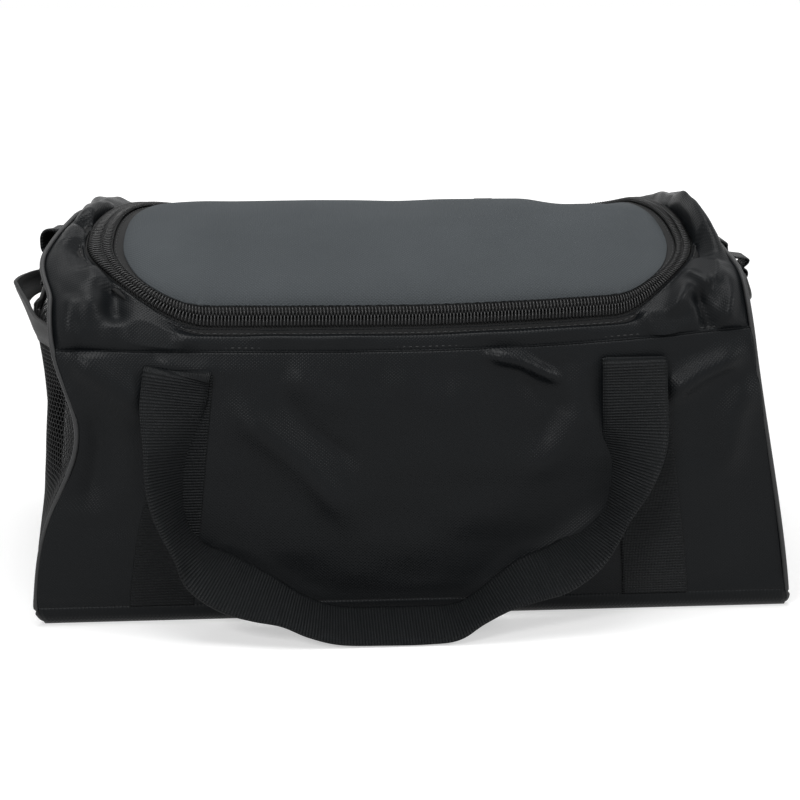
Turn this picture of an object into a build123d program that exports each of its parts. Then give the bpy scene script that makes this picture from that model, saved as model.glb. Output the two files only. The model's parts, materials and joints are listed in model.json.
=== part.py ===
from build123d import *

import os
from math import asin, atan, cos, radians, sin, sqrt, tan

# Soft duffel bag: zipped crown lid, two webbing carry handles, a mesh pocket on the left end.
#
# Millimetres. +X runs along the bag to the right, -Y is the front, +Z is up.
# The origin is the middle of the base, on the surface the bag stands on.
# The bag is a sleeve (base, front, back and crown) closed by two end panels. Everything on its
# surface is a layer: sleeve_body(grow) is the filled sleeve let out by `grow`, end_body(grow) is
# the same for the ends, and a piece is what lies between two such bodies in its own zone.

os.makedirs("parts", exist_ok=True)

# ---- the bag's overall shape -----------------------------------------------------------------
base_length = 450.0  # along X at the floor
end_taper = 40.0  # the end lines close in by this much, both ends together, up to their corner
depth = 240.0  # front face to back face
crest_height = 228.0
end_rise = 12.0  # the end outline's corner, before it is rounded, above the crest
end_round = 50.0  # radius that rounds the ends over to the crown
crown_radius = 175.0  # arc over the top, seen from the end
knee_inset = 25.0  # the crown arc turns into the tighter knee arc this far inside the face
base_round = 10.0  # radius along the base's long edges
least_round = 1.0
seam_drop = 20.0  # zipper's front run down to the level seam of the front and back panels
base_seam_height = 12.0

# ---- cloth, board and trim thicknesses -------------------------------------------------------
wall = 2.4
lid_cloth = 1.4
lid_foam_thickness = 2.4
lid_lining_thickness = 0.8
foam_inset = 2.0  # the foam stops this far inside the lid's edge
board_thickness = 3.0
board_margin = 9.0
piping_size = 3.0
piping_floor_gap = 0.4
seam_tape_width = 9.0
seam_tape_thickness = 1.2

# ---- the zipper, measured from the middle of its chain ---------------------------------------
chain_front_inset = 8.3  # the front run lies this far inside the front face
chain_end_inset = 24.0  # the chain at the lid's widest place, inside the end line's corner
chain_widest_y = -62.0
front_corner = 63.0  # half-axis along X of the lid's rounded front corners
rear_corner = 86.0  # half-axis along X of the lid's rounded rear corners
tail_setback = 14.0  # the fold back to the straight tails behind it
tail_end = 50.0  # the tails stop this far from the middle
row_gap = 0.8  # from the chain's middle to each row of coil
row_edge = 5.6
row_height = 2.6  # above the cloth
tape_depth = 0.6  # top of the tape, below the cloth's face
tape_thickness = 1.2
lid_edge_gap = 1.4  # row of coil to the lid's cloth
gusset_edge_gap = 2.4  # row of coil to the gusset's cloth
stop_length = 2.5
stop_clearance = 4.0  # parked slider to the end of the tail

# ---- the lid's fold --------------------------------------------------------------------------
fold_y = 58.0
fold_gap = 0.4  # each side of the fold
fold_axis_rise = 4.0  # the fold turns about a line this far above the cloth

# ---- slider and pull -------------------------------------------------------------------------
slider_length = 17.0
slider_width = 12.8
slider_corner = 3.2
slider_plate = 1.5
slider_clearance = 0.4
slider_web = 0.9
slider_web_length = 5.6
bridge_length = 12.0
bridge_width = 3.6
bridge_height = 4.6
bridge_bar = 1.4
pull_bar_radius = 1.0
pull_arm = 2.0
pull_length = 32.0
pull_thickness = 1.8
pull_clearance = 0.4

# ---- webbing ---------------------------------------------------------------------------------
webbing_width = 38.0
webbing_thickness = 2.0
webbing_top_x = 135.0
webbing_foot_x = 150.0
webbing_top_drop = 12.0  # seam down to the top of the webbing
handle_thickness = 2.4
handle_gap = 0.5  # handle to the webbing sewn behind it
handle_reach = 60.0  # the loop's outer edge on the floor, from the face
handle_floor_gap = 0.3
handle_bow = 30.0  # guide point that bows each leg outward, beyond the webbing's top
handle_bow_z = 30.0
handle_lean = 2.5  # the same guide point, away from the face
handle_rest_x = 90.0  # guide point where the loop comes down to the floor
handle_tilt = 13.0  # degrees that the resting strap leans up towards the bag
handle_stations = 16  # sections along each half of a loop

# ---- hardware on the ends --------------------------------------------------------------------
tab_width = 20.0
tab_thickness = 1.8
loop_low_drop = 23.0  # heights on the ends are measured down from the crest
loop_high_drop = 9.0
loop_bow = 16.0
tab_foot = 4.5
ring_wire = 1.8  # radius of the D-ring's wire
ring_side_play = 0.5  # tab to each side of the ring it holds
ring_reach = 17.0  # bar to the far side of the ring
ring_drop = 44.0
ring_stand_off = 10.5  # bar to the end panel
ring_lean = 20.0  # degrees that the hanging ring leans off the vertical
ring_tab_top_drop = 29.0
ring_tab_sewn_drop = 35.0
ring_corner = 3.0
ring_round = 8.0
ring_play = 0.4

# ---- mesh pocket on the left end -------------------------------------------------------------
pocket_side_inset = 12.0  # pocket's edges inside the faces
pocket_rise = 7.0  # top of the hem above the level seam
hem_height = 14.0
hem_thickness = 2.6
mesh_thickness = 1.4
mesh_gap = 0.4
pocket_bow = 25.0  # how far the hem stands off the end panel
pocket_belly_drop = 78.0  # top of the hem down to the belly of the mesh
pocket_belly = 8.0
pocket_foot_z = 4.0
pocket_foot = 4.5

# ---- worked out from the sizes above ---------------------------------------------------------
half_depth = depth / 2
top_length = base_length - end_taper
end_top_height = crest_height + end_rise
chain_half_width = top_length / 2 - chain_end_inset
chain_front = half_depth - chain_front_inset
chain_back_y = fold_y + tail_setback
lid_edge = row_edge + lid_edge_gap
gusset_edge = row_edge + gusset_edge_gap
ring_inner_width = tab_width + 2 * ring_side_play
knee_reach = half_depth - knee_inset
knee_angle = asin(knee_reach / crown_radius)
knee_radius = knee_inset / (1 - sin(knee_angle))
knee_centre_y = half_depth - knee_radius
crown_centre_z = crest_height - crown_radius
knee_centre_z = crown_centre_z + (crown_radius - knee_radius) * cos(knee_angle)
end_lean = atan((base_length - top_length) / 2 / end_top_height)
end_round_z = end_top_height - end_round
end_round_x = base_length / 2 - end_round_z * tan(end_lean) - end_round / cos(end_lean)
reach = 2 * base_length  # longer than the bag, for cutting


def crown_z(y):
    """Height of the sleeve's outer face at a distance y from the middle."""
    across = abs(y)
    if across <= knee_reach:
        return crown_centre_z + sqrt(crown_radius**2 - across**2)
    return knee_centre_z + sqrt(max(knee_radius**2 - (across - knee_centre_y) ** 2, 0))


def crown_slope(y):
    """Angle in radians of the outer face to the level, at a distance y from the middle."""
    across = abs(y)
    if across <= knee_reach:
        return asin(across / crown_radius)
    return asin(min((across - knee_centre_y) / knee_radius, 1))


def end_x(z):
    """Distance of the end's outer face from the middle, at height z."""
    straight = base_length / 2 - z * tan(end_lean)
    if z <= end_round_z + end_round * sin(end_lean):
        return straight
    return end_round_x + sqrt(end_round**2 - (z - end_round_z) ** 2)


seam_height = crown_z(chain_front) - seam_drop
webbing_top_z = seam_height - webbing_top_drop
loop_low_z = crest_height - loop_low_drop
loop_high_z = crest_height - loop_high_drop
ring_z = crest_height - ring_drop
ring_tab_top = crest_height - ring_tab_top_drop
ring_tab_sewn = crest_height - ring_tab_sewn_drop
pocket_half_width = half_depth - pocket_side_inset
pocket_top_z = seam_height + pocket_rise
pocket_belly_z = pocket_top_z - pocket_belly_drop


def finish(part, name):
    """Labels a finished piece and writes it."""
    part.label = name
    export_step(part, f"parts/{name}.step")


# ---- filled bodies that the pieces are cut from ----------------------------------------------
def sleeve_body(grow):
    """The filled sleeve, let out by grow: base, faces, knees and crown."""
    side = half_depth + grow
    with BuildPart() as body:
        with BuildSketch(Plane.YZ):
            with BuildLine():
                knee_y = (crown_radius + grow) * sin(knee_angle)
                knee_z = crown_centre_z + (crown_radius + grow) * cos(knee_angle)
                half = radians(45) + knee_angle / 2
                mid_y = knee_centre_y + (knee_radius + grow) * sin(half)
                mid_z = knee_centre_z + (knee_radius + grow) * cos(half)
                crest = crest_height + grow
                ThreePointArc((-knee_y, knee_z), (0, crest), (knee_y, knee_z))
                ThreePointArc((knee_y, knee_z), (mid_y, mid_z), (side, knee_centre_z))
                foot = FilletPolyline(
                    (side, knee_centre_z),
                    (side, -grow),
                    (-side, -grow),
                    (-side, knee_centre_z),
                    radius=max(base_round + grow, least_round),
                )
                ThreePointArc(foot @ 1, (-mid_y, mid_z), (-knee_y, knee_z))
            make_face()
        extrude(amount=reach / 2, both=True)
    return body.part


def end_body(grow):
    """The filled front view, let out by grow: leaning ends that round over to a flat top."""
    with BuildPart() as body:
        with BuildSketch(Plane.XZ):
            low = -seam_height
            low_x = base_length / 2 - low * tan(end_lean)
            with BuildLine():
                FilletPolyline(
                    (-low_x, low),
                    (-top_length / 2, end_top_height),
                    (top_length / 2, end_top_height),
                    (low_x, low),
                    radius=end_round,
                )
                Line((low_x, low), (-low_x, low))
            make_face()
            if grow:
                offset(amount=grow, kind=Kind.INTERSECTION)
        extrude(amount=reach / 2, both=True)
    return body.part


def lid_zone(grow):
    """Upright prism inside the chain's line, let out by grow measured along the cloth."""
    front_y = -chain_front - grow * cos(crown_slope(chain_front))
    back_y = chain_back_y + grow * cos(crown_slope(chain_back_y))
    front_x = chain_half_width - front_corner
    back_x = chain_half_width - rear_corner
    front_rise = chain_widest_y - front_y
    back_rise = back_y - chain_widest_y
    across = front_corner + grow
    across_back = rear_corner + grow
    with BuildPart() as zone:
        with BuildSketch():
            with BuildLine():
                for side, front_turn, back_turn in ((-1, 180, 90), (1, 270, 0)):
                    front = (side * front_x, chain_widest_y)
                    back = (side * back_x, chain_widest_y)
                    EllipticalCenterArc(front, across, front_rise, front_turn, arc_size=90)
                    EllipticalCenterArc(back, across_back, back_rise, back_turn, arc_size=90)
                Line((-front_x, front_y), (front_x, front_y))
                Line((-back_x, back_y), (back_x, back_y))
            make_face()
        extrude(amount=reach / 2)
    return zone.part


def slab(x=(-reach, reach), y=(-reach, reach), z=(-reach, reach)):
    """A block between two places on each axis, for keeping one stretch of a layer."""
    with BuildPart() as block:
        with BuildSketch(Plane.XY.offset(z[0])):
            with Locations(((x[0] + x[1]) / 2, (y[0] + y[1]) / 2)):
                Rectangle(x[1] - x[0], y[1] - y[0])
        extrude(amount=z[1] - z[0])
    return block.part


outer = sleeve_body(0)
ends_out = end_body(0)
ends_in = end_body(-wall)

with BuildPart() as filled:
    add(outer)
    add(ends_out, mode=Mode.INTERSECT)

with BuildPart() as sleeve:
    add(outer)
    add(sleeve_body(-wall), mode=Mode.SUBTRACT)
    add(ends_in, mode=Mode.INTERSECT)

lid_cut = lid_zone(-lid_edge)
gusset_hole = lid_zone(gusset_edge)
before_fold = slab(y=(-reach, fold_y - fold_gap), z=(seam_height, reach))
behind_fold = slab(y=(fold_y + fold_gap, reach), z=(seam_height, reach))
between_tails = slab(x=(-tail_end, tail_end), y=(fold_y, reach))
stop_inside = tail_end - stop_length
between_stops = slab(x=(-stop_inside, stop_inside), y=(fold_y, reach))


def layer(top, under):
    """The cloth-like layer between two heights over the sleeve's outer face, kept to the crown."""
    with BuildPart() as skin:
        add(sleeve_body(top))
        add(sleeve_body(under), mode=Mode.SUBTRACT)
        add(slab(z=(seam_height, reach)), mode=Mode.INTERSECT)
    return skin.part


# ---- base ------------------------------------------------------------------------------------
with BuildPart() as bottom_panel:
    add(sleeve.part)
    add(slab(z=(-reach, base_seam_height)), mode=Mode.INTERSECT)
finish(bottom_panel.part, "bottom_panel")

with BuildPart() as base_board:
    with BuildSketch(Plane.XY.offset(wall)):
        inset = wall + board_margin
        RectangleRounded(base_length - 2 * inset, depth - 2 * inset, board_margin)
    extrude(amount=board_thickness)
finish(base_board.part, "base_board")

# ---- front and back panels -------------------------------------------------------------------
for name, span in (("front_panel", (-reach, 0)), ("back_panel", (0, reach))):
    with BuildPart() as face_panel:
        add(sleeve.part)
        add(slab(y=span, z=(base_seam_height, seam_height)), mode=Mode.INTERSECT)
    finish(face_panel.part, name)

# ---- end panels, the piping round them and the tape over each seam inside --------------------
with BuildPart() as piping_band:
    add(sleeve_body(piping_size))
    add(end_body(piping_size), mode=Mode.INTERSECT)
    add(sleeve_body(-piping_size), mode=Mode.SUBTRACT)
    add(end_body(-piping_size), mode=Mode.SUBTRACT)
    add(filled.part, mode=Mode.SUBTRACT)

with BuildPart() as seam_band:
    add(sleeve_body(-wall))
    add(sleeve_body(-wall - seam_tape_width), mode=Mode.SUBTRACT)
    add(ends_in, mode=Mode.INTERSECT)
    add(end_body(-wall - seam_tape_thickness), mode=Mode.SUBTRACT)

for name, span in (("left", (-reach, 0)), ("right", (0, reach))):
    with BuildPart() as end_panel:
        add(filled.part)
        add(ends_in, mode=Mode.SUBTRACT)
        add(slab(x=span), mode=Mode.INTERSECT)
    finish(end_panel.part, f"end_panel_{name}")

    with BuildPart() as piping:
        add(piping_band.part)
        add(slab(x=span, z=(piping_floor_gap, reach)), mode=Mode.INTERSECT)
    finish(piping.part, f"end_piping_{name}")

    with BuildPart() as seam_tape:
        add(seam_band.part)
        add(slab(x=span), mode=Mode.INTERSECT)
    finish(seam_tape.part, f"inner_seam_tape_{name}")

# ---- the crown gusset round the lid, in four cut panels, and the strip behind the fold -------
gusset_split = chain_half_width - front_corner
gusset_spans = {
    "front": slab(x=(-gusset_split, gusset_split), y=(-reach, 0), z=(seam_height, reach)),
    "back": slab(x=(-gusset_split, gusset_split), y=(0, reach), z=(seam_height, reach)),
    "left": slab(x=(-reach, -gusset_split), z=(seam_height, reach)),
    "right": slab(x=(gusset_split, reach), z=(seam_height, reach)),
}
for name, span in gusset_spans.items():
    with BuildPart() as gusset:
        add(sleeve.part)
        add(span, mode=Mode.INTERSECT)
        add(gusset_hole, mode=Mode.SUBTRACT)
    finish(gusset.part, f"crown_gusset_{name}")

with BuildPart() as strip_zone:
    add(gusset_hole)
    add(between_stops, mode=Mode.INTERSECT)
    add(lid_cut)
    add(behind_fold, mode=Mode.INTERSECT)

with BuildPart() as fold_strip:
    add(sleeve.part)
    add(strip_zone.part, mode=Mode.INTERSECT)
finish(fold_strip.part, "lid_fold_strip")

# ---- zipper: a tape and a row of coil on each side of the chain's line -----------------------
tape_layer = layer(-tape_depth, -tape_depth - tape_thickness)
row_layer = layer(row_height, -tape_depth)
inner_edge = lid_zone(-row_gap)
outer_edge = lid_zone(row_gap)
zipper_bands = {
    "tape": (tape_layer, lid_cut, gusset_hole),
    "coil": (row_layer, lid_zone(-row_edge), lid_zone(row_edge)),
}
for name, (skin, inside, outside) in zipper_bands.items():
    with BuildPart() as lid_side:
        add(skin)
        add(inner_edge, mode=Mode.INTERSECT)
        add(inside, mode=Mode.SUBTRACT)
        add(before_fold, mode=Mode.INTERSECT)
    finish(lid_side.part, f"lid_zipper_{name}")

    with BuildPart() as body_side:
        add(skin)
        add(outside, mode=Mode.INTERSECT)
        add(outer_edge, mode=Mode.SUBTRACT)
        add(between_tails, mode=Mode.SUBTRACT)
    with BuildPart() as tails:
        add(skin)
        add(inner_edge, mode=Mode.INTERSECT)
        add(inside, mode=Mode.SUBTRACT)
        add(behind_fold, mode=Mode.INTERSECT)
        add(between_tails, mode=Mode.SUBTRACT)
    with BuildPart() as body_row:
        add(body_side.part)
        add(tails.part)
    finish(body_row.part, f"body_zipper_{name}")

with BuildPart() as zipper_stops:
    add(row_layer)
    add(lid_zone(row_edge), mode=Mode.INTERSECT)
    add(lid_zone(-row_edge), mode=Mode.SUBTRACT)
    add(behind_fold, mode=Mode.INTERSECT)
    add(between_tails, mode=Mode.INTERSECT)
    add(between_stops, mode=Mode.SUBTRACT)
finish(zipper_stops.part, "zipper_stops")

# ---- lid: cloth, foam and lining inside the zipper, all before the fold ----------------------
lid_layers = (
    ("lid_cloth", 0, lid_cloth, 0),
    ("lid_foam", lid_cloth, lid_foam_thickness, foam_inset),
    ("lid_lining", lid_cloth + lid_foam_thickness, lid_lining_thickness, 0),
)
for name, top, thickness, inset in lid_layers:
    with BuildPart() as lid_layer:
        add(layer(-top, -top - thickness))
        add(lid_zone(-lid_edge - inset), mode=Mode.INTERSECT)
        add(slab(y=(-reach, fold_y - fold_gap - inset)), mode=Mode.INTERSECT)
    finish(lid_layer.part, name)

# ---- slider parked on the right-hand tail, with its pull lying towards the middle ------------
slider_x = tail_end + stop_clearance + slider_length / 2
slider_travel = chain_half_width - rear_corner - slider_x - slider_length / 2
tail_face = Plane(
    origin=(slider_x, chain_back_y, crown_z(chain_back_y)),
    x_dir=(1, 0, 0),
    z_dir=(0, sin(crown_slope(chain_back_y)), cos(crown_slope(chain_back_y))),
)
tail_side = Plane(origin=tail_face.origin, x_dir=tail_face.x_dir, z_dir=-tail_face.y_dir)
plate_low = row_height + slider_clearance
plate_high = plate_low + slider_plate
under_high = -wall - slider_clearance
hole_low = plate_high
hole_high = plate_high + bridge_height - bridge_bar
bar_height = (hole_low + hole_high) / 2

with BuildPart() as slider:
    for low in (plate_low, under_high - slider_plate):
        with BuildSketch(tail_face.offset(low)):
            RectangleRounded(slider_length, slider_width, slider_corner)
        extrude(amount=slider_plate)
    web_low = (under_high - slider_plate / 2) / cos(crown_slope(chain_back_y))
    web_high = (plate_low + slider_plate / 2) / cos(crown_slope(chain_back_y))
    with BuildSketch(Plane.XY.offset(tail_face.origin.Z + web_low)):
        with Locations((slider_x, chain_back_y)):
            Rectangle(slider_web_length, slider_web)
    extrude(amount=web_high - web_low)
    with BuildSketch(tail_side):
        with Locations((0, plate_high + bridge_height / 2)):
            Rectangle(bridge_length, bridge_height)
        with Locations((0, bar_height)):
            Rectangle(bridge_length - 2 * bridge_bar, hole_high - hole_low, mode=Mode.SUBTRACT)
    extrude(amount=bridge_width / 2, both=True)
finish(slider.part, "zipper_slider")

eye_outer = bridge_width + 2 * (pull_clearance + pull_arm)
pull_axis = tail_face.offset(bar_height)
with BuildPart() as pull_tab:
    with BuildSketch(pull_axis.offset(-pull_thickness / 2)):
        with Locations((-pull_length / 2, 0)):
            RectangleRounded(pull_length + 2 * pull_bar_radius, eye_outer, pull_bar_radius)
        eye_length = bridge_length / 2 + pull_clearance
        with Locations((-eye_length / 2 - pull_bar_radius, 0)):
            Rectangle(eye_length, eye_outer - 2 * pull_arm, mode=Mode.SUBTRACT)
    extrude(amount=pull_thickness)
finish(pull_tab.part, "zipper_pull")

# ---- webbing sewn up the front and back panels -----------------------------------------------
for face, direction in (("front", -1), ("back", 1)):
    face_plane = Plane(
        origin=(0, direction * half_depth, 0),
        x_dir=(-direction, 0, 0),
        z_dir=(0, direction, 0),
    )
    for name, side in (("left", -1), ("right", 1)):
        across = -direction * side
        low_z = base_seam_height
        with BuildPart() as webbing:
            with BuildSketch(face_plane):
                with BuildLine():
                    half = webbing_width / 2
                    Polyline(
                        (across * webbing_foot_x - half, low_z),
                        (across * webbing_foot_x + half, low_z),
                        (across * webbing_top_x + half, webbing_top_z),
                        (across * webbing_top_x - half, webbing_top_z),
                        close=True,
                    )
                make_face()
            extrude(amount=webbing_thickness)
        finish(webbing.part, f"{face}_webbing_{name}")

# ---- carry handles: each loop hangs from its webbing, turns over and rests on the floor ---------
loop_y = half_depth + webbing_thickness + handle_gap + handle_thickness / 2
tilt = radians(handle_tilt)
rest_y = half_depth + handle_reach - webbing_width / 2 * cos(tilt)
rest_z = handle_floor_gap + webbing_width / 2 * sin(tilt) + handle_thickness / 2 * cos(tilt)


def strap_section(route, share, direction):
    """The strap's cross-section at a share of its route, turned over by as much as it has come down."""
    along = Vector(0, 0, -1) if share == 0 else route % share
    turned = radians(90) * share**2 * (3 - 2 * share)
    level = Vector(cos(turned), -direction * sin(turned) * cos(tilt), sin(turned) * sin(tilt))
    across = level - along * level.dot(along)
    with BuildSketch(Plane(origin=route @ share, x_dir=across, z_dir=along)) as section:
        Rectangle(webbing_width, handle_thickness)
    return section.sketch


for name, direction in (("front", -1), ("back", 1)):
    with BuildLine() as fall:
        Bezier(
            (-webbing_top_x, direction * loop_y, webbing_top_z),
            (-webbing_top_x - handle_bow, direction * (loop_y + handle_lean), handle_bow_z),
            (-handle_rest_x, direction * rest_y, rest_z),
            (0, direction * rest_y, rest_z),
        )
    with BuildPart() as handle:
        for station in range(handle_stations + 1):
            add(strap_section(fall.line, station / handle_stations, direction))
        loft(ruled=True)
        mirror(about=Plane.YZ)
    finish(handle.part, f"{name}_handle")

# ---- ends: an upper webbing loop, a doubled tab and the D-ring that hangs in it --------------
bar_x = end_x(ring_z) + ring_stand_off
ring_turn = ring_wire + ring_play
skin_x = tab_thickness / 2
for name, side in (("left", -1), ("right", 1)):
    end_plane = Plane(origin=(0, 0, 0), x_dir=(side, 0, 0), z_dir=(0, -side, 0))

    with BuildPart() as end_loop:
        with BuildSketch(end_plane):
            with BuildLine():
                FilletPolyline(
                    (end_x(loop_low_z - tab_foot) + skin_x, loop_low_z - tab_foot),
                    (end_x(loop_low_z) + skin_x, loop_low_z),
                    (end_x(loop_low_z) + loop_bow, loop_low_z + tab_thickness),
                    (end_x(loop_low_z) + loop_bow, loop_high_z - tab_thickness),
                    (end_x(loop_high_z) + skin_x, loop_high_z),
                    radius=tab_thickness,
                )
            trace(line_width=tab_thickness)
        extrude(amount=tab_width / 2, both=True)
        add(filled.part, mode=Mode.SUBTRACT)
    finish(end_loop.part, f"end_loop_{name}")

    with BuildPart() as ring_tab:
        with BuildSketch(end_plane):
            with BuildLine():
                FilletPolyline(
                    (end_x(ring_tab_top) + tab_thickness, ring_tab_top),
                    (end_x(ring_tab_sewn) + tab_thickness, ring_tab_sewn),
                    (bar_x, ring_z + ring_turn),
                    radius=tab_thickness,
                )
            trace(line_width=2 * tab_thickness)
            with Locations((bar_x, ring_z)):
                Circle(ring_turn + tab_thickness)
                Circle(ring_turn, mode=Mode.SUBTRACT)
        extrude(amount=tab_width / 2, both=True)
        add(filled.part, mode=Mode.SUBTRACT)
    finish(ring_tab.part, f"ring_tab_{name}")

    lean = radians(ring_lean)
    ring_plane = Plane(
        origin=(side * bar_x, 0, ring_z),
        x_dir=(0, 1, 0),
        z_dir=(side * cos(lean), 0, sin(lean)),
    )
    half = ring_inner_width / 2 + ring_wire
    far = ring_reach if (ring_plane.y_dir.Z < 0) else -ring_reach
    with BuildPart() as d_ring:
        with BuildLine(ring_plane) as ring_path:
            FilletPolyline(
                (half, 0),
                (half, far),
                (-half, far),
                (-half, 0),
                radius=(ring_corner, ring_round, ring_round, ring_corner),
                close=True,
            )
        with BuildSketch(Plane(origin=ring_path.line @ 0, z_dir=ring_path.line % 0)):
            Circle(ring_wire)
        sweep()
    finish(d_ring.part, f"d_ring_{name}")


# ---- mesh pocket: a bowed hem band and the mesh that falls from it to the foot of the end ----
def pocket_section(z, bow, thickness):
    """Sketch of the pocket at height z: a thin crescent standing off the left end by bow."""
    near = -end_x(z) - mesh_gap
    far = near - thickness
    with BuildSketch(Plane.XY.offset(z)) as section:
        with BuildLine():
            ThreePointArc((near, pocket_half_width), (near - bow, 0), (near, -pocket_half_width))
            Line((near, -pocket_half_width), (far, -pocket_half_width))
            ThreePointArc((far, -pocket_half_width), (far - bow, 0), (far, pocket_half_width))
            Line((far, pocket_half_width), (near, pocket_half_width))
        make_face()
    return section.sketch


hem_low = pocket_top_z - hem_height
with BuildPart() as pocket_hem:
    add(pocket_section(hem_low, pocket_bow, hem_thickness))
    extrude(amount=hem_height, dir=(0, 0, 1))
finish(pocket_hem.part, "pocket_hem")

with BuildPart() as mesh_pocket:
    add(pocket_section(pocket_foot_z, pocket_foot, mesh_thickness))
    add(pocket_section(pocket_belly_z, pocket_belly, mesh_thickness))
    add(pocket_section(hem_low, pocket_bow, mesh_thickness))
    loft(ruled=True)
finish(mesh_pocket.part, "mesh_pocket")

print("fold axis y, z:", fold_y, round(crown_z(fold_y) + fold_axis_rise, 3))
print("slider:", tuple(round(v, 3) for v in tail_face.origin), "travel:", slider_travel)
print("pull axis:", pull_axis.origin)
print("ring bar x, z:", round(bar_x, 3), ring_z)
print("handle axis y, z:", round(loop_y, 3), round(webbing_top_z, 3))
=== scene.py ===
import json
from math import asin, atan, cos, pi, radians, sin

import bpy
import numpy as np
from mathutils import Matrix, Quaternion, Vector

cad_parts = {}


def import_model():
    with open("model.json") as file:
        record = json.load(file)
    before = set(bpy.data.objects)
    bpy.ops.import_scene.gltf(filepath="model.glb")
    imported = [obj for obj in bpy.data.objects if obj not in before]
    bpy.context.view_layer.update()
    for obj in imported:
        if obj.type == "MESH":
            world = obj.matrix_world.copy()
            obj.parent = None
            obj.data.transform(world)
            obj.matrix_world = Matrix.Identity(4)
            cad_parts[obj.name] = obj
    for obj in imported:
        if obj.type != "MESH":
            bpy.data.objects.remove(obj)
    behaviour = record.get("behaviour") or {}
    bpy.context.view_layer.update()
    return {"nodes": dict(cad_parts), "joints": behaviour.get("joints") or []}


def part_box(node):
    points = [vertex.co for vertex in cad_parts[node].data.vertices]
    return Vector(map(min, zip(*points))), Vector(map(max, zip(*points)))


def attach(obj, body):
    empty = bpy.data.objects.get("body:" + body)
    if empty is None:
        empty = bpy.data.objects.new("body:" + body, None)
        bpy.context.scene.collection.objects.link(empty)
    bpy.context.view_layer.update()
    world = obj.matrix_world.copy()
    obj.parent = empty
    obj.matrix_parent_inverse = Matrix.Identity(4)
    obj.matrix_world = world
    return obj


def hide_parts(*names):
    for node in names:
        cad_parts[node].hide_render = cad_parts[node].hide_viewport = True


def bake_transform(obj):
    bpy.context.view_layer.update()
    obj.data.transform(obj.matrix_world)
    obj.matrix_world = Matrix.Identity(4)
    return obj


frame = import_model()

# A stuffed duffel bag. Metres, in the CAD frame: +X along the bag to the right, -Y the front, +Z up.
# Cloth lies on the CAD sleeve: a place is (x, s, h), where x is along the bag, s is the distance
# over the crown from its crest (front negative) and h is the height off the sleeve's face.

# ---- sizes read from the frame ----
base_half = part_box("end_panel_right")[1].x
half_depth = -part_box("front_panel")[0].y
crest_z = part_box("end_panel_left")[1].z
seam_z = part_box("front_panel")[1].z
base_seam_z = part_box("front_panel")[0].z
fold_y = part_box("lid_cloth")[1].y
tail_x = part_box("zipper_stops")[1].x
webbing_top_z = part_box("front_webbing_left")[1].z
hem_low, hem_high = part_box("pocket_hem")
net_foot_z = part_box("mesh_pocket")[0].z
loop_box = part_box("end_loop_left")
tab_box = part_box("ring_tab_left")
joints = {j["name"]: j for j in frame["joints"]}
ring_axis = joints["ring_right_swing"]["pos_m"]

# ---- the sleeve's profile, as the CAD has it ----
crown_radius = 0.175
knee_inset = 0.025
end_taper = 0.020
end_rise = 0.012
end_round = 0.050
chain_front_inset = 0.0083
chain_end_inset = 0.024
widest_y = -0.062
front_corner = 0.063
rear_corner = 0.086
tail_setback = 0.0144
front_foreshortening = 0.53
rear_foreshortening = 0.91
gusset_edge = 0.0068
base_corner = 0.010
webbing_width = 0.038
end_band_width = 0.020

# ---- thickness of each cloth ----
cloth_thickness = 0.0018
strap_thickness = 0.0022
sewn_thickness = 0.0013
hem_thickness = 0.0022
tape_thickness = 0.0007

faces_of_bag = ((-1, "front"), (1, "back"))
ends_of_bag = ((-1, "left"), (1, "right"))

knee_reach = half_depth - knee_inset
knee_angle = asin(knee_reach / crown_radius)
knee_radius = knee_inset / (1 - sin(knee_angle))
knee_y = half_depth - knee_radius
crown_z = crest_z - crown_radius
knee_z = crown_z + (crown_radius - knee_radius) * cos(knee_angle)
arc_crown = crown_radius * knee_angle
s_face = arc_crown + knee_radius * (pi / 2 - knee_angle)
end_top = crest_z + end_rise
end_slope = end_taper / end_top
end_lean = atan(end_slope)
round_z = end_top - end_round
round_x = base_half - round_z * end_slope - end_round / cos(end_lean)
chain_half = base_half - end_taper - chain_end_inset
chain_front = half_depth - chain_front_inset
chain_back = fold_y + tail_setback


# ---- shape of the sleeve ----
def profile(s):
    """Place (y, z) and outward normal (y, z) on the sleeve's face at a distance s over the crown."""
    a = np.abs(s)
    side = np.where(s < 0, -1.0, 1.0)
    on_crown = a <= arc_crown
    turn = np.where(on_crown, a / crown_radius, knee_angle + (a - arc_crown) / knee_radius)
    turn = np.minimum(turn, pi / 2)
    y = np.where(on_crown, crown_radius * np.sin(turn), knee_y + knee_radius * np.sin(turn))
    z = np.where(on_crown, crown_z + crown_radius * np.cos(turn), knee_z + knee_radius * np.cos(turn))
    return side * y, z - np.maximum(a - s_face, 0), side * np.sin(turn), np.cos(turn)


def s_at(y):
    """Distance over the crown of the place at depth y."""
    a = np.abs(y)
    on_crown = a <= knee_reach
    near = crown_radius * np.arcsin(np.minimum(a / crown_radius, 1))
    far = arc_crown + knee_radius * (
        np.arcsin(np.clip((a - knee_y) / knee_radius, -1, 1)) - knee_angle
    )
    return np.where(on_crown, near, far) * np.where(y < 0, -1.0, 1.0)


def s_of_z(z):
    """Distance over the crown down to height z, on either side."""
    turn = np.arccos(np.clip((z - knee_z) / knee_radius, -1, 1))
    return np.where(z < knee_z, s_face + knee_z - z, arc_crown + knee_radius * (turn - knee_angle))


s_seam = float(s_of_z(np.array(seam_z)))
s_base = float(s_of_z(np.array(base_seam_z)))


def end_x(z):
    """Distance of the end's face from the middle, at height z."""
    curved = round_x + np.sqrt(np.maximum(end_round**2 - (z - round_z) ** 2, 0))
    return np.where(z <= round_z + end_round * sin(end_lean), base_half - z * end_slope, curved)


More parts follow.
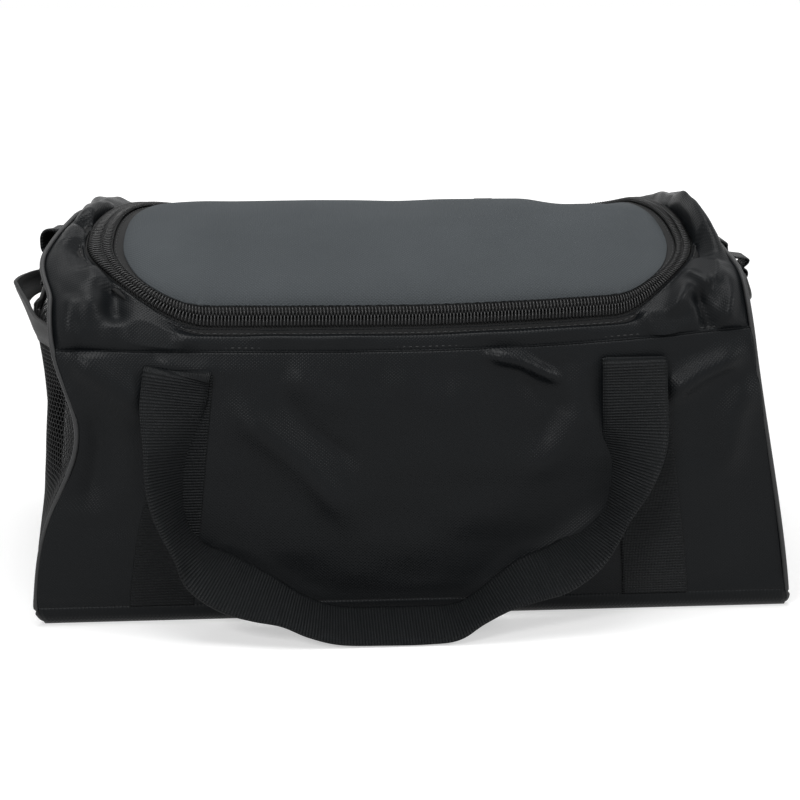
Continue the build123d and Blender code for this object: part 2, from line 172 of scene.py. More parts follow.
def smooth(t):
    """0 below 0, 1 above 1, and an even turn between."""
    t = np.clip(t, 0, 1)
    return t * t * (3 - 2 * t)


def ring_ends(grow):
    """Depth of the front and back of the line round the lid, `grow` outside the chain."""
    return -chain_front - grow * front_foreshortening, chain_back + grow * rear_foreshortening


def ring_at(q, grow):
    """Place (x, y) on the line round the lid, `grow` outside the chain. q runs from 0 behind the
    fold, to the left, along the front (4 in its middle) and back to 8."""
    half = np.where(q > 4, 8 - q, q)
    side = np.where(q > 4, 1.0, -1.0)
    front_y, back_y = ring_ends(grow)
    front_x = chain_half - front_corner
    back_x = chain_half - rear_corner
    rear = np.clip(half - 1, 0, 1) * pi / 2
    fore = np.clip(half - 2, 0, 1) * pi / 2
    x = np.where(
        half < 1,
        half * back_x,
        np.where(
            half < 2,
            back_x + (rear_corner + grow) * np.sin(rear),
            np.where(half < 3, front_x + (front_corner + grow) * np.cos(fore), (4 - half) * front_x),
        ),
    )
    y = np.where(
        half < 2,
        widest_y + (back_y - widest_y) * np.cos(rear),
        widest_y - (widest_y - front_y) * np.sin(fore),
    )
    return side * x, y


chain_q = np.linspace(0, 8, 6001)
chain_x, chain_y = ring_at(chain_q, 0.0)
chain_d = np.concatenate([[0], np.cumsum(np.hypot(np.diff(chain_x), np.diff(s_at(chain_y))))])


def q_of(distance):
    """q at a distance along the chain's line, measured from its middle at the back."""
    return np.interp(distance, chain_d, chain_q)


def lattice(x, y, seed):
    """Seeded random values in -1..1 on whole-number places."""
    n = (x.astype(np.int64) * 374761393 + y.astype(np.int64) * 668265263 + seed * 974634777) & 0x7FFFFFFF
    n = ((n ^ (n >> 13)) * 1274126177) & 0x7FFFFFFF
    return ((n ^ (n >> 16)) & 0xFFFF) / 32767.5 - 1


def noise(x, y, size, seed):
    """Smooth value noise of about -1..1 with features of that size in metres."""
    u, v = np.asarray(x) / size, np.asarray(y) / size
    i, j = np.floor(u), np.floor(v)
    a, b = smooth(u - i), smooth(v - j)
    low = lattice(i, j, seed) * (1 - a) + lattice(i + 1, j, seed) * a
    high = lattice(i, j + 1, seed) * (1 - a) + lattice(i + 1, j + 1, seed) * a
    return low * (1 - b) + high * b


def crease(x, s, points, width, height):
    """Height of one fold along points (x, s) in millimetres, fading at both ends."""
    points = np.array(points, float) / 1000
    runs = np.concatenate([[0], np.cumsum(np.hypot(*np.diff(points, axis=0).T))])
    best = np.full(np.shape(x), 9.0)
    along = np.zeros(np.shape(x))
    for (x0, s0), (x1, s1), r0, r1 in zip(points, points[1:], runs, runs[1:]):
        dx, ds = x1 - x0, s1 - s0
        t = np.clip(((x - x0) * dx + (s - s0) * ds) / (dx * dx + ds * ds), 0, 1)
        far = np.hypot(x - x0 - t * dx, s - s0 - t * ds)
        along = np.where(far < best, (r0 + t * (r1 - r0)) / runs[-1], along)
        best = np.minimum(best, far)
    fade = smooth(0.15 + along / 0.3) * smooth(0.15 + (1 - along) / 0.35)
    blunt, sharp = 0.3 * width, 1.4
    off = np.hypot(best * 1000, blunt) - blunt
    return height / 1000 * fade * np.exp(-((off / width * 1.15) ** sharp))


# ---- how the stuffed bag departs from the plain sleeve ----
def reach_back(y, z):
    """1 at the front of the bag, 0 behind; it reaches further back over the crown."""
    start = -0.10 + 0.10 * smooth((z - 0.190) / 0.025)
    return 1 - smooth((y - start) / 0.05)


def settle(p):
    """The whole bag's sag: the right end climbs and draws in, the left front corner caves in."""
    x, y, z = p[..., 0], p[..., 1], p[..., 2]
    out_x = np.abs(x)
    high = smooth((z - 0.02) / 0.14) * (1 - smooth((z - 0.185) / 0.035))
    high = high * (1 - smooth((y + 0.09) / 0.05))
    lift = np.where(x > 0, 0.011 * (out_x / 0.21) ** 1.6, 0.0035 * (out_x / 0.21) ** 2)
    along = smooth((x - 0.08) / 0.03)
    slack = 0.0015 * along * smooth((z - 0.19) / 0.02) * smooth((y + 0.02) / 0.03)
    slack = slack * (1 - smooth((x - 0.14) / 0.02))
    front = reach_back(y, z)
    right = (0.003 - 0.018 * smooth(z / 0.19)) * front * smooth((out_x - 0.10) / 0.10)
    dent = -0.001 - 0.020 * np.exp(-(((z - 0.112) / 0.042) ** 2)) - 0.005 * (1 - smooth(z / 0.014))
    shoulder = 0.011 * smooth((z - 0.19) / 0.025) * (1 - smooth((y + 0.02) / 0.03))
    shoulder = shoulder * smooth((out_x - 0.175) / 0.03)
    left = dent * front * smooth((out_x - 0.12) / 0.09) + shoulder
    out = p.copy()
    out[..., 0] = x + np.where(x > 0, right, -left)
    out[..., 2] = z + lift * high - slack
    return out


def drawn(x, s):
    """Where the cloth at (x, s) comes to lie once the bag has settled, as (x, s)."""
    y, z, ny, _ = profile(s)
    flat = np.stack(np.broadcast_arrays(x, y, z), -1)
    moved = settle(flat) - flat
    return x + moved[..., 0], s - ny * moved[..., 2]


def place(x, s, h):
    """The point at (x, s, h), after the bag has settled."""
    y, z, ny, nz = profile(s)
    return settle(np.stack([x + 0 * s, y + h * ny, z + h * nz], axis=-1))


# ---- mesh building ----
def add_object(name, data):
    """An object of that mesh, lamp or camera, in the scene."""
    obj = bpy.data.objects.new(name, data)
    bpy.context.scene.collection.objects.link(obj)
    return obj


def mesh_object(name, points, faces, material, uv, smooth_faces=True):
    """An object from points and faces, with uv in metres for the weave."""
    mesh = bpy.data.meshes.new(name)
    mesh.from_pydata([tuple(p) for p in points], [], [tuple(f) for f in faces])
    mesh.validate()
    if uv is not None:
        layer = mesh.uv_layers.new(name="cloth")
        corner = np.zeros(len(mesh.loops), np.int32)
        mesh.loops.foreach_get("vertex_index", corner)
        layer.data.foreach_set("uv", np.asarray(uv, np.float32)[corner].ravel())
    mesh.polygons.foreach_set("use_smooth", [smooth_faces] * len(mesh.polygons))
    for m in material if isinstance(material, (list, tuple)) else [material]:
        mesh.materials.append(m)
    return add_object(name, mesh)


def run_of(line):
    """Distance along a line of points, at each of them."""
    return np.concatenate([[0], np.cumsum(np.linalg.norm(np.diff(line, axis=0), axis=1))])


def grid_faces(rows, columns, wrap_rows=False, wrap_columns=False):
    """Quads of a rows x columns grid of points."""
    i = np.arange(rows if wrap_rows else rows - 1)
    j = np.arange(columns if wrap_columns else columns - 1)
    i, j = np.meshgrid(i, j, indexing="ij")
    i, j = i.ravel(), j.ravel()
    here, up, right = i * columns, (i + 1) % rows * columns, (j + 1) % columns
    return np.stack([here + j, here + right, up + right, up + j], 1)


def grid_object(name, points, material, uv, **wrap):
    """An object from a grid of points."""
    rows, columns = points.shape[:2]
    faces = grid_faces(rows, columns, **wrap)
    return mesh_object(name, points.reshape(-1, 3), faces, material, uv.reshape(-1, 2))


def joined(name, parts, material):
    """One object from several meshes, each given as its points, faces and uv."""
    points, faces, uv = zip(*parts)
    starts = np.cumsum([0] + [len(p) for p in points])
    faces = np.concatenate([f + start for f, start in zip(faces, starts)])
    return mesh_object(name, np.concatenate(points), faces, material, np.concatenate(uv))


def thicken(obj, thickness, offset=-1.0):
    """Gives a surface its cloth's thickness, inward from its face."""
    modifier = obj.modifiers.new("thickness", "SOLIDIFY")
    modifier.thickness = thickness
    modifier.offset = offset
    modifier.use_even_offset = False
    return obj


def tube(name, line, radius, material, closed=False):
    """A round tube along a line of points."""
    ahead = np.roll(line, -1, 0) - np.roll(line, 1, 0)
    if not closed:
        ahead[0], ahead[-1] = line[1] - line[0], line[-1] - line[-2]
    ahead /= np.linalg.norm(ahead, axis=1, keepdims=True)
    normal = np.cross(ahead, [0, 0, 1.0])
    flat = np.linalg.norm(normal, axis=1) < 0.3
    normal[flat] = np.cross(ahead[flat], [1.0, 0, 0])
    for k in range(1, len(line)):
        carried = normal[k - 1] - ahead[k] * (normal[k - 1] @ ahead[k])
        normal[k] = carried / np.linalg.norm(carried)
    other = np.cross(ahead, normal)
    turn = np.arange(8) / 8 * 2 * pi
    ring = normal[:, None] * np.cos(turn)[:, None] + other[:, None] * np.sin(turn)[:, None]
    points = line[:, None] + ring * radius
    uv = np.stack(np.meshgrid(run_of(line), turn * radius, indexing="ij"), -1)
    return grid_object(name, points, material, uv, wrap_rows=closed, wrap_columns=True)


def ride(obj, body, slot, *nodes):
    """Puts a piece on its body and hides the CAD pieces it stands for; its slot is not used."""
    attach(obj, body)
    if nodes:
        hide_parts(*nodes)


# ---- materials ----
def node(tree, kind, inputs=(), **settings):
    """A shader node with its settings and its inputs by name or number."""
    made = tree.nodes.new(kind)
    for key, value in settings.items():
        setattr(made, key, value)
    for key, value in dict(inputs).items():
        if isinstance(value, bpy.types.NodeSocket):
            tree.links.new(value, made.inputs[key])
        else:
            made.inputs[key].default_value = value
    return made


def calc(tree, operation, a, b=0.0):
    """The result of one math node."""
    return node(tree, "ShaderNodeMath", {0: a, 1: b}, operation=operation).outputs[0]


def surface(name, colour, roughness, specular, metallic=0.0):
    """A Principled material; returns it with its tree and shader for more nodes."""
    material = bpy.data.materials.new(name)
    material.use_nodes = True
    tree = material.node_tree
    shader = tree.nodes["Principled BSDF"]
    shader.inputs["Base Color"].default_value = (*colour, 1)
    shader.inputs["Roughness"].default_value = roughness
    shader.inputs["Specular IOR Level"].default_value = specular
    shader.inputs["Metallic"].default_value = metallic
    return material, tree, shader


def threads(tree, uv, pitch_u, pitch_v, ribbed):
    """Height of a weave: threads that pass over each other by turns, or webbing's ribs across it."""
    split = node(tree, "ShaderNodeSeparateXYZ", {0: uv})
    u = calc(tree, "MULTIPLY", split.outputs[0], pi / pitch_u)
    v = calc(tree, "MULTIPLY", split.outputs[1], pi / pitch_v)
    warp, weft = calc(tree, "SINE", u), calc(tree, "SINE", v)
    if ribbed:
        tall = calc(tree, "MULTIPLY", calc(tree, "ABSOLUTE", warp), 0.75)
        return calc(tree, "ADD", tall, calc(tree, "MULTIPLY", calc(tree, "ABSOLUTE", weft), 0.3))
    over = calc(tree, "MULTIPLY", warp, weft)
    ribs = calc(tree, "ADD", calc(tree, "ABSOLUTE", warp), calc(tree, "ABSOLUTE", weft))
    return calc(tree, "ADD", calc(tree, "MULTIPLY", over, 0.5), calc(tree, "MULTIPLY", ribs, 0.35))


def speckle(tree, vector, scale, detail):
    """A noise texture's value at that vector."""
    made = {"Vector": vector, "Scale": scale, "Detail": detail}
    return node(tree, "ShaderNodeTexNoise", made).outputs[0]


def cloudy_tone_and_painted_shade(tree, shader, height, colour, size, spread, depth):
    """Colour with painted shade, darker in the hollows of the relief and lighter on its raised parts,
    and with soft cloudy patches of tone.
    """
    place_in = node(tree, "ShaderNodeTexCoord").outputs["Object"]
    cloud = speckle(tree, place_in, 1 / size, 3.0)
    lift = calc(tree, "MULTIPLY", calc(tree, "SUBTRACT", cloud, 0.5), spread)
    # painted shade: the relief's hollows are painted darker and its raised parts lighter
    lift = calc(tree, "ADD", lift, calc(tree, "MULTIPLY", height, depth))
    lift = calc(tree, "ADD", lift, 1.0)
    shade = node(tree, "ShaderNodeVectorMath", {0: colour, "Scale": lift}, operation="SCALE")
    tree.links.new(shade.outputs[0], shader.inputs["Base Color"])


def woven(name, colour, roughness, specular, pitch_u, pitch_v, bump, ribbed=False):
    """Cloth or webbing with real threads of that pitch in metres."""
    # depth sets how much darker the hollows between threads are painted and how much lighter the raised
    # threads, painted shade
    spread, depth = (0.25, 0.8) if ribbed else (0.3, 0.18)
    material, tree, shader = surface(name, colour, roughness, specular)
    uv = node(tree, "ShaderNodeUVMap", uv_map="cloth").outputs[0]
    height = threads(tree, uv, pitch_u, pitch_v, ribbed)
    rough = speckle(tree, uv, 900.0, 2.0)
    relief = calc(tree, "ADD", height, calc(tree, "MULTIPLY", rough, 0.5))
    normal = node(tree, "ShaderNodeBump", {"Height": relief, "Strength": 1.0, "Distance": bump})
    tree.links.new(normal.outputs[0], shader.inputs["Normal"])
    cloudy_tone_and_painted_shade(tree, shader, height, colour, 0.05, spread, depth)
    return material


def moulded(name, colour, roughness, specular, metallic=0.0):
    """Plastic or lacquered metal with a fine grain and worn, slightly duller patches."""
    material, tree, shader = surface(name, colour, roughness, specular, metallic)
    place_in = node(tree, "ShaderNodeTexCoord").outputs["Object"]
    fine = speckle(tree, place_in, 1400.0, 3.0)
    wear = speckle(tree, place_in, 90.0, 4.0)
    relief = {"Height": fine, "Distance": 0.0002, "Strength": 0.4}
    tree.links.new(node(tree, "ShaderNodeBump", relief).outputs[0], shader.inputs["Normal"])
    span = calc(tree, "MULTIPLY", calc(tree, "SUBTRACT", wear, 0.5), 0.35)
    tree.links.new(calc(tree, "ADD", span, roughness), shader.inputs["Roughness"])
    # colour painted darker in the grain's hollows, painted shade, and varied in cloudy patches
    cloudy_tone_and_painted_shade(tree, shader, fine, colour, 0.02, 0.3, 0.2)
    return material


body_cloth = woven("body_cloth", (0.0038, 0.0045, 0.0052), 0.35, 0.11, 0.0011, 0.0009, 0.00012)
# the lid is the body's cloth; its far lighter colour is painted light, standing in for the light from
# above on its up-facing top
lid_cloth_painted_lighter = woven("lid_cloth", (0.050, 0.0555, 0.0595), 0.70, 0.04, 0.0011, 0.0009, 0.00012)
lining = woven("lining", (0.0100, 0.0100, 0.0105), 0.75, 0.10, 0.0008, 0.0008, 0.00008)
strap = woven("webbing", (0.0042, 0.0047, 0.0051), 0.40, 0.10, 0.0017, 0.0009, 0.0007, True)
tape = woven("zipper_tape", (0.0070, 0.0072, 0.0074), 0.6, 0.15, 0.0007, 0.0007, 0.0001)
binding = woven("binding", (0.0070, 0.0072, 0.0074), 0.55, 0.15, 0.0012, 0.0006, 0.00016)
piping_cloth = woven("piping", (0.0220, 0.0225, 0.0232), 0.5, 0.3, 0.0008, 0.0008, 0.0001)
netting = woven("mesh", (0.0150, 0.0154, 0.0158), 0.5, 0.2, 0.0005, 0.0005, 0.0001)
thread = woven("thread", (0.0240, 0.0246, 0.0252), 0.45, 0.3, 0.0004, 0.0004, 0.00008)
coil_plastic = moulded("zipper_coil", (0.0060, 0.0062, 0.0064), 0.30, 0.32)
metal = moulded("zipper_metal", (0.0150, 0.0150, 0.0155), 0.35, 0.4, 0.2)
ring_plastic = moulded("ring", (0.0070, 0.0071, 0.0073), 0.36, 0.35)
board_plastic = moulded("board", (0.0200, 0.0200, 0.0200), 0.6, 0.3)


# ---- folds that pull the cloth ----
# folds: places (x, s) in mm along each, then its width and height in mm
front_folds = (
    (((-200, -146), (-192, -148), (-175, -160), (-150, -180)), 9, 4.0),
    (((-186, -170), (-182, -200), (-190, -240)), 9, -3.0),
    (((-150, -150), (-141, -151), (-129, -153), (-112, -155)), 4, 1.3),
    (((-76, -158), (-58, -165), (-36, -180)), 8, 2.0),
    (((40, -147), (50, -149), (62, -152), (88, -165)), 3.2, 3.6),
    (((60, -160), (84, -180), (70, -215)), 9, -2.2),
    (((-110, -165), (-95, -185), (-61, -216), (-30, -255)), 9, 3.2),
    (((-80, -165), (-62, -190), (-30, -215)), 7, -2.2),
    (((122, -236), (110, -248), (76, -275), (36, -300)), 7, 2.8),
    (((150, -178), (157, -168), (168, -160), (196, -147)), 6, 4.0),
    (((200, -160), (190, -185), (184, -225)), 9, 3.0),
    (((100, -150), (96, -185), (60, -230)), 10, 2.0),
    (((-20, -160), (20, -175), (40, -165)), 10, 1.4),
)
crown_folds = (
    (((173, -12), (175, -30), (178, -50), (184, -75), (191, -92)), 9, 7.5),
    (((140, 76), (157, 52), (163, 28), (170, 0), (174, -25)), 8, 2.4),
    (((158, 40), (165, 18), (166, -5), (167, -30), (170, -60), (172, -84)), 3.4, -4.5),
    (((172, -68), (175, -78), (175, -90)), 6, -6.0),
    (((160, -101), (166, -107), (171, -111), (176, -111)), 3.4, 5.0),
    (((182, -92), (179, -102), (176, -111)), 3.6, 4.0),
    (((166, -113), (168, -121), (171, -129), (174, -138)), 3.6, -5.0),
    (((162, -106), (156, -117), (151, -129), (147, -142)), 4.5, 4.0),
    (((130, -126), (141, -131), (150, -141)), 4.0, 3.0),
    (((186, -100), (186, -118), (181, -138)), 5.0, 3.5),
    (((-198, -33), (-190, -40), (-182, -48)), 4.5, -4.5),
    (((-199, -60), (-192, -76), (-186, -94)), 6.5, -4.5),
    (((-188, -60), (-183, -80), (-182, -104), (-186, -136)), 9.0, 4.5),
    (((-176, -100), (-173, -112), (-171, -130)), 7.0, -6.5),
    (((-165, -128), (-155, -134), (-140, -138), (-120, -137)), 4.0, 3.0),
    (((-196, -110), (-198, -128), (-196, -142)), 7.0, 3.0),
    (((-172, 2), (-184, -20), (-190, -36)), 8.0, 4.5),
    (((-100, -134), (-60, -138), (-20, -136)), 4.0, 1.8),
    (((20, -136), (60, -137), (110, -133)), 4.0, 2.0),
    (((190, 20), (196, 60), (196, 110)), 8.0, 4.0),
    (((-190, 20), (-196, 60), (-196, 110)), 8.0, 4.0),
    (((160, 70), (175, 95), (190, 120)), 5.0, -3.5),
    (((-160, 72), (-178, 96), (-188, 124)), 5.0, -3.5),
    (((120, 100), (150, 125), (160, 142)), 5.0, 3.0),
    (((-110, 100), (-145, 122), (-165, 142)), 5.0, 3.0),
)
back_folds = (
    (((200, 147), (180, 160), (150, 185)), 9, 3.6),
    (((-196, 148), (-176, 165), (-160, 195)), 9, 3.2),
    (((-60, 150), (-20, 175), (30, 165)), 9, 2.4),
    (((100, 170), (60, 210), (10, 240)), 10, 2.8),
    (((-130, 240), (-80, 265), (-20, 300)), 9, 2.4),
)

panel_folds = {-1: (1.5, front_folds), 1: (1.3, back_folds)}


def panel_height(face, x, s):
    """How the front (face -1) or back (1) stands off the sleeve: stuffing, ripples and folds."""
    down = (np.abs(s) - s_seam) / (s_base - s_seam)
    across = np.clip(1 - (x / base_half) ** 4, 0, 1)
    belly = 0.0035 * np.sin(np.clip(down, 0, 1) * pi) * across
    ripple = 0.0009 * noise(x, s * 2, 0.035, 5) + 0.0015 * noise(x + 0.5 * s, s, 0.07, 9)
    stuffed = belly + ripple * smooth(down / 0.08) * smooth((1 - down) / 0.08)
    rim = smooth((np.abs(s) - s_seam + 0.002) / 0.006)
    gain, folds = panel_folds[face]
    xs, ss = drawn(x, s)
    return stuffed + gain * rim * sum(crease(xs, ss, *each) for each in folds)


def crown_height(x, s, out):
    """How the gusset stands off the sleeve; out runs from 0 at the zipper to 1 at its outer seam."""
    hump = 4 * out * (1 - out)
    held = smooth(out / 0.10) * smooth((1 - out) / 0.10)
    end = smooth((np.abs(x) - 0.125) / 0.06)
    front = smooth((-s - 0.06) / 0.05) * (1 - end)
    lobe = smooth((x - 0.13) / 0.03) * smooth((s + 0.09) / 0.04) * (1 - smooth((s + 0.03) / 0.04))
    puff = hump * (0.0045 * end + 0.0014 * front + 0.0035 * (1 - end) * (1 - front) + 0.0035 * lobe)
    hollow = 0.0042 * np.exp(-(((out - 0.16) / 0.11) ** 2))
    under = hollow * smooth((-s - 0.085) / 0.02) * smooth((0.150 - np.abs(x)) / 0.03)
    ripple = (0.0010 * noise(x * 1.5, s, 0.012, 21) + 0.0014 * noise(x, s * 0.7, 0.026, 22)) * end
    xs, ss = drawn(x, s)
    folds = 1.2 * sum(crease(xs, ss, *each) for each in crown_folds)
    height = puff - under + hump * (ripple + 0.0006 * noise(x, s, 0.02, 23)) + held * folds
    # the folds stay low where a raised handle's legs pass
    leg_x, leg_clearance = 0.150, 0.0031
    passing = smooth((0.018 - np.abs(np.abs(xs) - leg_x)) / 0.008) * smooth((np.abs(ss) - 0.120) / 0.010)
    return height - passing * np.clip(height - leg_clearance, 0, None)


# ---- front, back and bottom cloth ----
def bag_cloth(name, points, uv, *nodes, **wrap):
    """A piece of the bag's own cloth from a grid of points."""
    obj = grid_object(name, points, body_cloth, uv, **wrap)
    ride(thicken(obj, cloth_thickness), "bag", "body_cloth", *nodes)


def face_panel(face, face_name):
    """The front or back cloth, from the level seam down to the base."""
    rows, columns = 150, 330
    s = face * np.linspace(s_seam, s_base, rows)[:, None]
    x = np.linspace(-1, 1, columns)[None, :] * end_x(profile(s)[1])
    s = np.broadcast_to(s, x.shape)
    points = place(x, s, panel_height(face, x, s))[:, ::-face]
    bag_cloth(f"{face_name}_cloth", points, np.stack([x, s], -1)[:, ::-face], f"{face_name}_panel")


for face, face_name in faces_of_bag:
    face_panel(face, face_name)


def bottom():
    """The base cloth, rounded up to the front and back seams."""
    columns, middle, depth = 160, 60, 2 * half_depth
    turn = np.linspace(0, pi / 2, 8)
    inward, upward = base_corner - base_corner * np.array([np.cos(turn), np.sin(turn)])
    flat_y = np.linspace(base_corner, depth - base_corner, middle)[1:-1]
    y = np.concatenate([[0], inward, flat_y, depth - inward[::-1], [depth]]) - half_depth
    z = np.concatenate([[base_seam_z], upward, 0 * flat_y, upward[::-1], [base_seam_z]])
    x = np.linspace(-1, 1, columns)[None] * end_x(z)[:, None]
    points = settle(np.stack([x, y[:, None] + 0 * x, z[:, None] + 0 * x], -1))
    bag_cloth("base_cloth", points, points[..., :2], "bottom_panel")


bottom()


# ---- crown gusset ----
def gusset():
    """The cloth round the lid, from the zipper's tape out to the piping and the level seams."""
    centre_s = -0.02
    inner_q = np.linspace(0, 8, 2400)
    ix, iy = ring_at(inner_q, gusset_edge)
    angle = np.unwrap(np.arctan2(s_at(iy) - centre_s, ix))
    corner_x = float(end_x(np.array(seam_z)))
    corners = []
    for sx, ss in ((-1, 1), (-1, -1), (1, -1), (1, 1)):
        a = np.arctan2(ss * s_seam - centre_s, sx * corner_x)
        corners.append(a + np.round((angle.mean() - a) / (2 * pi)) * 2 * pi)
    low, high = min(angle[0], angle[-1]), max(angle[0], angle[-1])
    middle = (low + high) / 2
    corners = [a if low <= a <= high else a + 2 * pi * np.sign(middle - a) for a in corners]
    marks = np.sort(np.concatenate([[low], corners, [high]]))
    spans = zip(marks[:-1], marks[1:])
    rays = np.concatenate([np.linspace(a, b, 230, endpoint=False) for a, b in spans])
    order = np.argsort(angle)
    x0, y0 = ring_at(np.interp(rays, angle[order], inner_q[order]), gusset_edge)
    s0 = s_at(y0)
    dx, ds = np.cos(rays), np.sin(rays)
    near, far = np.zeros_like(rays), np.full_like(rays, 0.4)
    for _ in range(40):
        mid = (near + far) / 2
        s = centre_s + mid * ds
        inside = (np.abs(s) <= s_seam) & (np.abs(mid * dx) <= end_x(profile(s)[1]))
        near, far = np.where(inside, mid, near), np.where(inside, far, mid)
    x1, s1 = near * dx, centre_s + near * ds
    out = np.linspace(0, 1, 60)[:, None]
    x = x0 + (x1 - x0) * out
    s = s0 + (s1 - s0) * out
    points = place(x, s, crown_height(x, s, out + 0 * x))
    nodes = [f"crown_gusset_{side}" for side in ("front", "back", "left", "right")]
    uv = np.stack([x, s], -1)[::-1]
    bag_cloth("crown_gusset_cloth", points[::-1], uv, *nodes, wrap_columns=True)


gusset()


# ---- ends ----
def end_height(y, z, full):
    """How an end panel bulges: stuffed in the middle, flat at its edges."""
    across = np.clip(1 - (y / half_depth) ** 2, 0, 1)
    up = np.clip(1 - ((z - 0.115) / 0.115) ** 2, 0, 1)
    ripple = 0.0007 * noise(y * 1.3, z, 0.03, 41) + 0.0008 * noise(y, z * 0.6, 0.06, 42)
    return (full + ripple) * (across * up) ** 0.5


def end_panel(side, side_name, full):
    """An end's cloth, on the leaning face and over its rounded top."""
    rows, columns = 120, 110
    up = np.linspace(0, 1, rows)[:, None] ** 0.9
    foot_z = base_seam_z * 0.15
    z = foot_z + up * (crest_z - foot_z)
    half_y = half_depth - base_corner * (1 - smooth(z / base_corner))
    over = np.sqrt(np.maximum(crown_radius**2 - (z - crown_z) ** 2, 0))
    turned = knee_y + np.sqrt(np.maximum(knee_radius**2 - (z - knee_z) ** 2, 0))
    knee_top = crown_z + crown_radius * cos(knee_angle)
    half_y = np.where(z > knee_top, over, np.where(z > knee_z, turned, half_y))
    y = np.linspace(-1, 1, columns)[None] * half_y
    z = z + 0 * y
    lean = np.where(z <= round_z, end_lean, np.arcsin(np.clip((z - round_z) / end_round, 0, 1)))
    h = end_height(y, z, full)
    points = settle(np.stack([side * (end_x(z) + h * np.cos(lean)), y, z + h * np.sin(lean)], -1))
    uv = np.stack([y, z], -1)[:, ::side]
    bag_cloth(f"end_cloth_{side_name}", points[:, ::side], uv, f"end_panel_{side_name}")


# the left end is hollow enough for the pocket's net to stand off it
for (side, side_name), full in zip(ends_of_bag, (-0.008, -0.002)):
    end_panel(side, side_name, full)


def edge_line(side, out, lift):
    """The line round an end where the sleeve meets it, let out by `out` and `lift`."""
    y, z, ny, nz = profile(np.linspace(-s_base - 0.002, s_base + 0.002, 420))
    return settle(np.stack([side * (end_x(z) + out), y + ny * lift, z + nz * lift], -1))


def piping(side, side_name):
    """The corded edge round an end, closed along the floor."""
    out, lift, radius, edge = 0.0008, 0.0010, 0.0015, half_depth - base_corner
    top = edge_line(side, out, lift)
    turn = np.linspace(0, pi / 2, 7)[1:]
    x = side * (base_half + out)
    drop_y = edge + base_corner * np.cos(turn)
    drop_z = base_corner - (base_corner - radius) * np.sin(turn)
    drop = np.stack([0 * turn + x, drop_y, drop_z], -1)
    flat_y = np.linspace(edge, -edge, 60)[1:-1]
    floor = np.stack([0 * flat_y + x, flat_y, 0 * flat_y + radius], -1)
    rise = drop[::-1] * [1, -1, 1]
    line = np.concatenate([top, settle(np.concatenate([drop, floor, rise]))])
    obj = tube(f"end_piping_cloth_{side_name}", line, radius, piping_cloth, closed=True)
    ride(obj, "bag", "piping", f"end_piping_{side_name}")


for side, side_name in ends_of_bag:
    piping(side, side_name)


def inner_tape(side, side_name):
    """Binding tape over the raw seam inside an end."""
    rows = np.linspace(-s_base, s_base, 300)[:, None]
    deep = np.linspace(0.0030, 0.0110, 8)[None]
    y, z, ny, nz = profile(rows)
    x = side * (end_x(z) - 0.0030) + 0 * deep
    points = settle(np.stack([x, y - ny * deep, z - nz * deep], -1))
    uv = np.stack([rows + 0 * deep, deep + 0 * rows], -1)
    obj = thicken(grid_object(f"inner_binding_{side_name}", points, binding, uv), 0.0010, 0.0)
    ride(obj, "bag", "binding", f"inner_seam_tape_{side_name}")


for side, side_name in ends_of_bag:
    inner_tape(side, side_name)


# ---- zipper ----
whole = chain_d[-1]
lid_start = chain_d[(ring_at(chain_q, -0.004)[1] < fold_y) & (chain_q < 4)].min()
lid_stop = whole - lid_start
tail_spans = [(tail_x, lid_start), (lid_stop, whole - tail_x)]


def strip(name, spans, inner, outer, h_outer, body, node_name):
    """A tape that follows the chain between two offsets from its line."""
    steps, h_inner, parts = 6, -0.0006, []
    for a, b in spans:
        d = np.linspace(a, b, max(int(abs(b - a) / 0.002), 4))[:, None]
        t = np.linspace(0, 1, steps)[None]
        grow = inner + (outer - inner) * t
        x, y = ring_at(q_of(d) + 0 * t, grow + 0 * d)
        h = h_inner + (h_outer - h_inner) * t + 0 * d
        uv = np.stack([d + 0 * t, grow + 0 * d], -1).reshape(-1, 2)
        parts.append((place(x, s_at(y), h).reshape(-1, 3), grid_faces(len(d), steps), uv))
    ride(thicken(joined(name, parts, tape), tape_thickness, 0.0), body, "zipper_tape", node_name)


# the lid's side of the tape, the bag's, and the inner side along the tails behind the fold
strip("lid_tape", [(lid_start, lid_stop)], -0.0006, -0.0150, -0.0010, "lid", "lid_zipper_tape")
strip("body_tape", [(tail_x, whole - tail_x)], 0.0006, 0.0125, -0.0016, "bag", "body_zipper_tape")
strip("tail_tape", tail_spans, -0.0006, -0.0085, -0.0010, "bag", "body_zipper_tape")

coil_pitch = 0.0020


